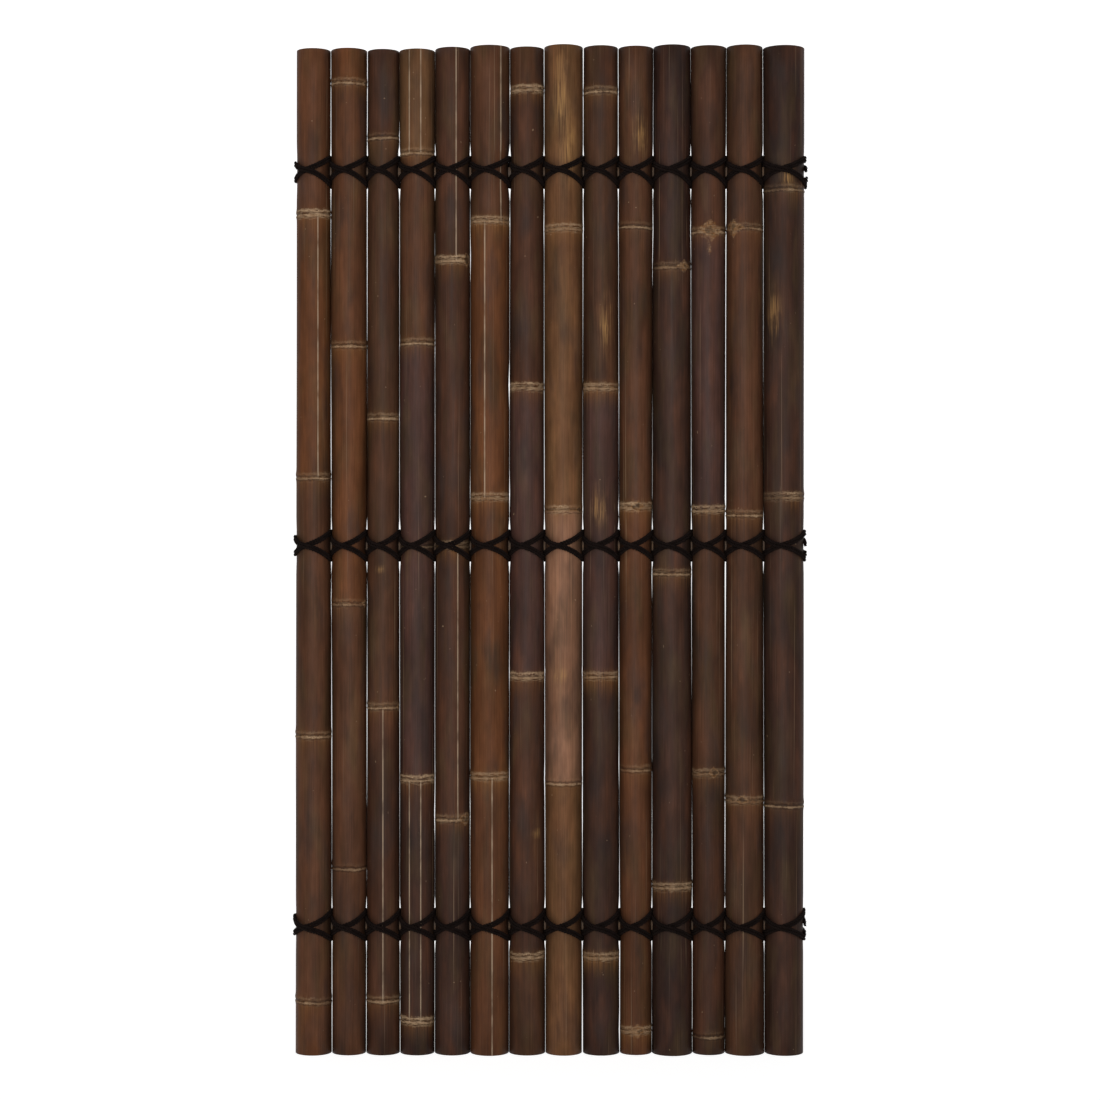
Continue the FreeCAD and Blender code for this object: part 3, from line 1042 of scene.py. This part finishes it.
def cut_material():
    """Sawn bamboo, with fibre bundles."""
    material, tree, output = new_material("sawn_bamboo")
    inputs = {"Vector": stretched(tree, BUNDLE_SCALE), "Scale": 1.0}
    dots = add_node(tree, "ShaderNodeTexVoronoi", inputs).outputs["Distance"]
    stain = stretched_noise(tree, (60.0, 60.0, 25.0), 4.0)
    colour = veil(tree, PITH, BUNDLE, dots, 0.15, 0.45, 0.85, 0.0)
    colour = shade(tree, colour, stain, 0.3, 0.7, 0.55, 1.2)
    roughness = remap(tree, stain, 0.3, 0.7, 0.75, 0.95)
    coat(tree, output, colour, roughness, dots, bump_strength=0.3, bump_depth=0.3 * MM, gloss=0.2)
    return material


sawn_bamboo = cut_material()
for culm, skin in zip(culms, skins):
    piece = add_object(f"{culm.name}_culm", skin, stained_bamboo, sawn_bamboo)
    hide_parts(culm.name)
    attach(piece, "root")
print("culms in place:", len(culms))

# %% [markdown]
# The laths are raw split bamboo, and their CAD shape is right as it is. They only show as slivers in the
# shade between the canes, so they keep their meshes and get a brown finish with fibres along the lath.

# %% Finish of the laths
RAW_BAMBOO = paint(88, 64, 41)
RAW_SHADE = paint(52, 37, 25)


def lath_material():
    """Raw split bamboo, with fibres along x."""
    material, tree, output = new_material("raw_lath")
    fibres = stretched_noise(tree, (6.0, 600.0, 600.0))
    blotches = stretched_noise(tree, (14.0, 50.0, 50.0))
    colour = veil(tree, RAW_BAMBOO, RAW_SHADE, fibres, 0.3, 0.7, 0.0, 0.8)
    colour = shade(tree, colour, blotches, 0.3, 0.7, 0.7, 1.15)
    roughness = remap(tree, blotches, 0.3, 0.7, 0.65, 0.85)
    coat(tree, output, colour, roughness, fibres, bump_strength=0.3, bump_depth=0.3 * MM, gloss=0.5)
    return material


raw_lath = lath_material()
for row in ROWS:
    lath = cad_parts[f"{row}_lath"]
    lath.data.materials.clear()
    lath.data.materials.append(raw_lath)
print("laths finished:", len(ROWS))

# %% [markdown]
# The lashings hold the panel together. A rope is laid double round the first cane, and its two halves go
# to the right, one in front and one behind, and swap sides in every gap. One rope of a row starts above
# the lath and the other below it, and both change level at every cane, so they cross in an X on each one.
# In a gap, the half that comes from the front takes the outer turn, and the other one the inner turn next
# to the lath. These heights could be drawn by eye, but worked out from the lath they always fit.

# %% Turns and bends of a rope
STRAND_RADIUS = 2.4 * MM
ROPE_CLEARANCE = 0.2 * MM
ROPE_WIDTH = 4 * STRAND_RADIUS
DIVE_ANGLE = math.radians(17)
INNER_TURN = LATH_EDGE + ROPE_WIDTH / 2
OUTER_TURN = INNER_TURN + ROPE_WIDTH + ROPE_CLEARANCE
ROW_EDGE = OUTER_TURN + ROPE_WIDTH / 2
HUMP_RISE = 5.6 * MM
HUMP_HALF = math.radians(18)
HUMP_FOOT = math.radians(28)
ARC_STEP = math.radians(26)
FLATNESS = 1.35
STUB_RISE = 2.0 * MM
REACH_STEPS = 24


def reach(culm, low, high):
    """Largest radius of a culm between two heights."""
    heights = [low + (high - low) * step / REACH_STEPS for step in range(REACH_STEPS + 1)]
    return max(culm.radius(height) + node_rise(culm, height) for height in heights)


def arc_angles(start, stop):
    """Angles in the middle of even steps from one angle to another."""
    steps = max(0, round((stop - start) / ARC_STEP))
    return [start + (stop - start) * (step + 0.5) / steps for step in range(steps)]


print("turns:", round(INNER_TURN / MM, 1), "and", round(OUTER_TURN / MM, 1), "mm from the middle of a row")


# %% [markdown]
# Straight arms would look drawn with a ruler. A rope round a cane winds like a screw thread: seen from the
# front it is steep at the edges and flat in the middle. So the route is a list of control points at even
# angles round each cane, a little outside the skin, and the NURBS line that they draw follows the skin
# closely. Where a falling rope crosses a rising one, two of the points lift it over.

# %% Routes of the lashings
class Lashing:
    """One rope of a row."""

    def __init__(self, row_height, high_on_left):
        self.row_height = row_height
        self.high_on_left = high_on_left

    def level(self, gap, turn):
        """Height of a turn in a gap: above the lath in every other gap, and below it between."""
        above = self.high_on_left == (gap % 2 == 0)
        return self.row_height + (turn if above else -turn)

    def passage(self, gap):
        """Where the rope goes between two canes, or round the outside of the first or last."""
        low, high = sorted((self.level(gap, LATH_EDGE), self.level(gap, ROW_EDGE)))
        outside = ROPE_CLEARANCE + STRAND_RADIUS
        if gap == 0:
            return culms[0].x - reach(culms[0], low, high) - outside
        left_skin = culms[gap - 1].x + reach(culms[gap - 1], low, high)
        if gap == len(culms):
            return left_skin + outside
        return (left_skin + culms[gap].x - reach(culms[gap], low, high)) / 2

    def pass_by(self, index, side, first_turn, last_turn):
        """Control points past one cane, in front for a side of -1 or behind for 1."""
        culm = culms[index]
        seat = reach(culm, self.row_height - ROW_EDGE, self.row_height + ROW_EDGE)
        bend = seat + ROPE_CLEARANCE + STRAND_RADIUS
        ends = []
        for gap, turn in ((index, first_turn), (index + 1, last_turn)):
            off = self.passage(gap) - culm.x
            dive = math.sqrt((bend / math.cos(DIVE_ANGLE)) ** 2 - off ** 2)
            ends.append((math.atan2(off, dive), self.level(gap, turn) - self.row_height))
        (first_angle, first_rise), (last_angle, last_rise) = ends
        crossing = first_angle + (last_angle - first_angle) * first_rise / (first_rise - last_rise)

        def point(angle, radius):
            """A control point, at the height that the rope has at an angle round the cane."""
            end_angle, end_rise = ends[0] if angle < crossing else ends[1]
            rise = end_rise * ((angle - crossing) / (end_angle - crossing)) ** FLATNESS
            place = (culm.x + radius * math.sin(angle), side * radius * math.cos(angle))
            return Vector((*place, self.row_height + rise))

        touch_first = first_angle + DIVE_ANGLE
        touch_last = last_angle - DIVE_ANGLE
        corner = bend / math.cos(ARC_STEP / 2)
        if first_rise < 0:
            middle = [point(angle, corner) for angle in arc_angles(touch_first, touch_last)]
        else:
            top = (bend + HUMP_RISE) / math.cos(HUMP_HALF)
            middle = [point(angle, corner) for angle in arc_angles(touch_first, crossing - HUMP_FOOT)]
            middle += [point(crossing - HUMP_HALF, top), point(crossing + HUMP_HALF, top)]
            middle += [point(angle, corner) for angle in arc_angles(crossing + HUMP_FOOT, touch_last)]
        dive_radius = bend / math.cos(DIVE_ANGLE)
        return [point(first_angle, dive_radius)] + middle + [point(last_angle, dive_radius)]

    def half(self, side):
        """Control points of one half, from the left of the first cane to the right of the last."""
        turns = [INNER_TURN]
        for gap in range(1, len(culms) + 1):
            from_front = side * (-1) ** gap > 0
            turns.append(OUTER_TURN if from_front else INNER_TURN)
        points = []
        for index in range(len(culms)):
            points += self.pass_by(index, side * (-1) ** index, turns[index], turns[index + 1])
        last = points[-1]
        stub = self.high_on_left and last.y > 0
        end_height = self.row_height + STUB_RISE if stub else last.z
        return points + [Vector((last.x, -last.y, end_height))]

    def route(self):
        """The whole rope, from one end on the right, round the first cane and back to the right."""
        return self.half(-1)[::-1] + self.half(1)


lashings = {}
for row, row_height in ROWS.items():
    lashings[f"{row}_rope_high"] = Lashing(row_height, True)
    lashings[f"{row}_rope_low"] = Lashing(row_height, False)
print("control points of one rope:", len(lashings["top_rope_high"].route()))

# %% [markdown]
# The points of a NURBS line lie close together in some places and far apart in others, and a twist laid
# on them would be uneven. So the line of each route is walked along, and a point is set at every even step.

# %% Even points along a route
ROUTE_ORDER = 3
ROUTE_RESOLUTION = 14
YARN_STEP = 1.9 * MM


def nurbs_points(control_points):
    """Points along the NURBS line of a route."""
    curve = bpy.data.curves.new("route", "CURVE")
    curve.dimensions = "3D"
    spline = curve.splines.new("NURBS")
    spline.points.add(len(control_points) - 1)
    for point, place in zip(spline.points, control_points):
        point.co = (*place, 1.0)
    spline.order_u = ROUTE_ORDER
    spline.use_endpoint_u = True
    spline.resolution_u = ROUTE_RESOLUTION
    holder = bpy.data.objects.new("route", curve)
    line = bpy.data.meshes.new_from_object(holder)
    points = [vertex.co.copy() for vertex in line.vertices]
    bpy.data.objects.remove(holder)
    bpy.data.curves.remove(curve)
    bpy.data.meshes.remove(line)
    return points


def even_steps(points, step):
    """Points a step apart along a line of points."""
    even = [points[0]]
    left_over = 0.0
    for start, end in zip(points, points[1:]):
        span = (end - start).length
        place = step - left_over
        while place <= span:
            even.append(start.lerp(end, place / span))
            place += step
        left_over = span - (place - step)
    return even


first_route = nurbs_points(lashings["top_rope_high"].route())
print("points of one rope:", len(first_route), "then", len(even_steps(first_route, YARN_STEP)))

# %% [markdown]
# Close up, each half of a rope is two cords side by side, and each cord is two hairy yarns laid round each
# other. A smooth tube would look like wire. So the cords are set half a width above and below the line,
# and each yarn winds round its cord. The yarns are drawn as curves with a round bevel, and Blender turns
# them into tubes with closed ends.

# %% Yarns
YARN_RADIUS = 1.7 * MM
YARN_LAY = 1.25 * MM
TWIST_PITCH = 11.0 * MM
TAPER = 0.8


class Line:
    """A line of even points, with the direction along it, upwards and across at each."""

    def __init__(self, control_points):
        self.points = even_steps(nurbs_points(control_points), YARN_STEP)
        self.along = []
        self.up = []
        self.across = []
        last = len(self.points) - 1
        for number in range(len(self.points)):
            along = (self.points[min(number + 1, last)] - self.points[max(number - 1, 0)]).normalized()
            up = (Vector((0, 0, 1)) - along * along.z).normalized()
            self.along.append(along)
            self.up.append(up)
            self.across.append(along.cross(up))

    def yarn(self, cord_offset, start_turn):
        """Points of one yarn, which winds round a cord set above or below the line."""
        points = []
        for number, centre in enumerate(self.points):
            turn = start_turn + 2 * math.pi * number * YARN_STEP / TWIST_PITCH
            lay = self.up[number] * math.cos(turn) + self.across[number] * math.sin(turn)
            points.append(centre + self.up[number] * cord_offset + lay * YARN_LAY)
        return points


def tubes(paths, radius, roundness, tapers=False):
    """One mesh of closed round tubes along lists of points, pointed at the far end if tapered."""
    curve = bpy.data.curves.new("tubes", "CURVE")
    curve.dimensions = "3D"
    curve.bevel_depth = radius
    curve.bevel_resolution = roundness
    curve.use_fill_caps = True
    for path in paths:
        spline = curve.splines.new("POLY")
        spline.points.add(len(path) - 1)
        for number, place in enumerate(path):
            spline.points[number].co = (*place, 1.0)
            if tapers:
                spline.points[number].radius = 1.0 - TAPER * number / (len(path) - 1)
    holder = bpy.data.objects.new("tubes", curve)
    mesh = bpy.data.meshes.new_from_object(holder)
    bpy.data.objects.remove(holder)
    bpy.data.curves.remove(curve)
    return mesh


rope_lines = {name: Line(lashing.route()) for name, lashing in lashings.items()}
for name, line in rope_lines.items():
    print(name, "length:", round(len(line.points) * YARN_STEP, 2), "m")

# %% [markdown]
# Black palm fibre is hairy. Short fibres stand off the cords all along, and the cut ends at the right of
# the panel fray into small tufts. Each hair is a thin tapered tube of a few points, so the mesh stays
# closed. A seeded random generator places them, and every run gives the same rope.

# %% Hairs and frayed ends
HAIR_RADIUS = 0.16 * MM
HAIRS_PER_METRE = 480
HAIR_LENGTH = (3.0 * MM, 9.0 * MM)
HAIR_JOINTS = (0.4, 1.0)
HAIR_BEND = 0.5
HAIR_LIFT = 0.7
HAIR_SLANT = (0.4, 1.4)
TUFT_HAIRS = 16
TUFT_LENGTH = (2.0 * MM, 5.0 * MM)
TUFT_ROOT = 0.8
TUFT_SPREAD = 0.7


def any_way(chance):
    """A vector with each part between -1 and 1."""
    return Vector([chance.uniform(-1, 1) for axis in range(3)])


def hair(chance, root, direction, length):
    """Points of one fibre that leaves its root in a direction and bends as it goes."""
    bend = any_way(chance) * HAIR_BEND
    points = [root]
    for share in HAIR_JOINTS:
        points.append(root + (direction + bend * share).normalized() * length * share)
    return points


def loose_fibres(chance, line):
    """Fibres that stand off the cords of one rope."""
    fibres = []
    for count in range(round(len(line.points) * YARN_STEP * HAIRS_PER_METRE)):
        number = chance.randrange(1, len(line.points) - 1)
        turn = chance.uniform(0, 2 * math.pi)
        outward = line.up[number] * math.cos(turn) + line.across[number] * math.sin(turn)
        offset = line.up[number] * math.copysign(STRAND_RADIUS, math.cos(turn))
        root = line.points[number] + offset + outward * YARN_RADIUS
        slant = line.along[number] * chance.choice((-1, 1)) * chance.uniform(*HAIR_SLANT)
        direction = (outward * HAIR_LIFT + slant).normalized()
        fibres.append(hair(chance, root, direction, chance.uniform(*HAIR_LENGTH)))
    return fibres


def tufts(chance, line):
    """Fibres that fray from both cords at both ends of one rope."""
    fibres = []
    for number, outward in ((0, -1), (len(line.points) - 1, 1)):
        for cord in (-STRAND_RADIUS, STRAND_RADIUS):
            end = line.points[number] + line.up[number] * cord
            for count in range(TUFT_HAIRS):
                spread = any_way(chance)
                root = end + spread * YARN_RADIUS * TUFT_ROOT
                direction = (line.along[number] * outward + spread * TUFT_SPREAD).normalized()
                fibres.append(hair(chance, root, direction, chance.uniform(*TUFT_LENGTH)))
    return fibres


print("hairs on one rope:", len(loose_fibres(random.Random(1), rope_lines["top_rope_high"])))

# %% [markdown]
# Between two canes there is only a slit, and a rope pulled through it is squeezed flat. Modelling that by
# hand would take long. Instead every vertex that lies inside a cane is pushed straight out to its skin.
# In the slits that flattens the yarns, and on the canes it seats them.

# %% Press the ropes onto the canes
SKIN_CLEARANCE = 0.08 * MM
CANE_REACH = 45.0 * MM
YARN_ROUNDNESS = 1
HAIR_ROUNDNESS = 0


def press_out(mesh_source):
    """Push every vertex that lies inside a culm out to its skin."""
    for vertex in mesh_source.verts:
        for culm in culms:
            if abs(vertex.co.x - culm.x) > CANE_REACH:
                continue
            lean = lean_at(culm, vertex.co.z)
            off = Vector((vertex.co.x - culm.x, vertex.co.y - lean))
            skin = culm.radius(vertex.co.z) + node_rise(culm, vertex.co.z) + SKIN_CLEARANCE
            if off.length < skin:
                off = off.normalized() * skin
                vertex.co.x = culm.x + off.x
                vertex.co.y = lean + off.y


def rope_mesh(name, seed):
    """Both cords of a rope with their hairs, pressed onto the canes."""
    line = rope_lines[name]
    chance = random.Random(seed)
    yarns = []
    for cord in (-STRAND_RADIUS, STRAND_RADIUS):
        start = chance.uniform(0, math.pi)
        yarns += [line.yarn(cord, start), line.yarn(cord, start + math.pi)]
    rope = bmesh.new()
    fibres = loose_fibres(chance, line) + tufts(chance, line)
    yarn_tubes = tubes(yarns, YARN_RADIUS, YARN_ROUNDNESS)
    hair_tubes = tubes(fibres, HAIR_RADIUS, HAIR_ROUNDNESS, tapers=True)
    for part in (yarn_tubes, hair_tubes):
        rope.from_mesh(part)
        bpy.data.meshes.remove(part)
    press_out(rope)
    bmesh.ops.recalc_face_normals(rope, faces=rope.faces)
    return rope


rope_meshes = {name: rope_mesh(name, seed) for seed, name in enumerate(rope_lines, start=1)}
print("faces of one rope:", len(rope_meshes["top_rope_high"].faces))

# %% [markdown]
# The rope is black palm fibre: nearly black with a breath of brown, and dull. A plain black would show no
# form at all, so fine noise gives it the unevenness of fibre. Its soft edge comes from the loose hairs.

# %% Finish of the ropes
BLACK_FIBRE = paint(12, 8, 7)
BROWN_FIBRE = paint(31, 20, 16)


def rope_material():
    """Black fibre cord."""
    material, tree, output = new_material("black_fibre")
    fibres = stretched_noise(tree, (1500.0, 1500.0, 1500.0))
    patches = stretched_noise(tree, (90.0, 90.0, 90.0))
    colour = veil(tree, BLACK_FIBRE, BROWN_FIBRE, fibres, 0.4, 0.75, 0.0, 0.9)
    colour = shade(tree, colour, patches, 0.3, 0.7, 0.7, 1.3)
    roughness = remap(tree, fibres, 0.3, 0.7, 0.75, 0.95)
    coat(tree, output, colour, roughness, fibres, bump_strength=0.6, bump_depth=0.3 * MM, gloss=0.06)
    return material


black_fibre = rope_material()
for name, rope in rope_meshes.items():
    piece = add_object(f"{name}_cords", rope, black_fibre)
    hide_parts(name)
    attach(piece, "root")
print("ropes in place:", len(rope_meshes))
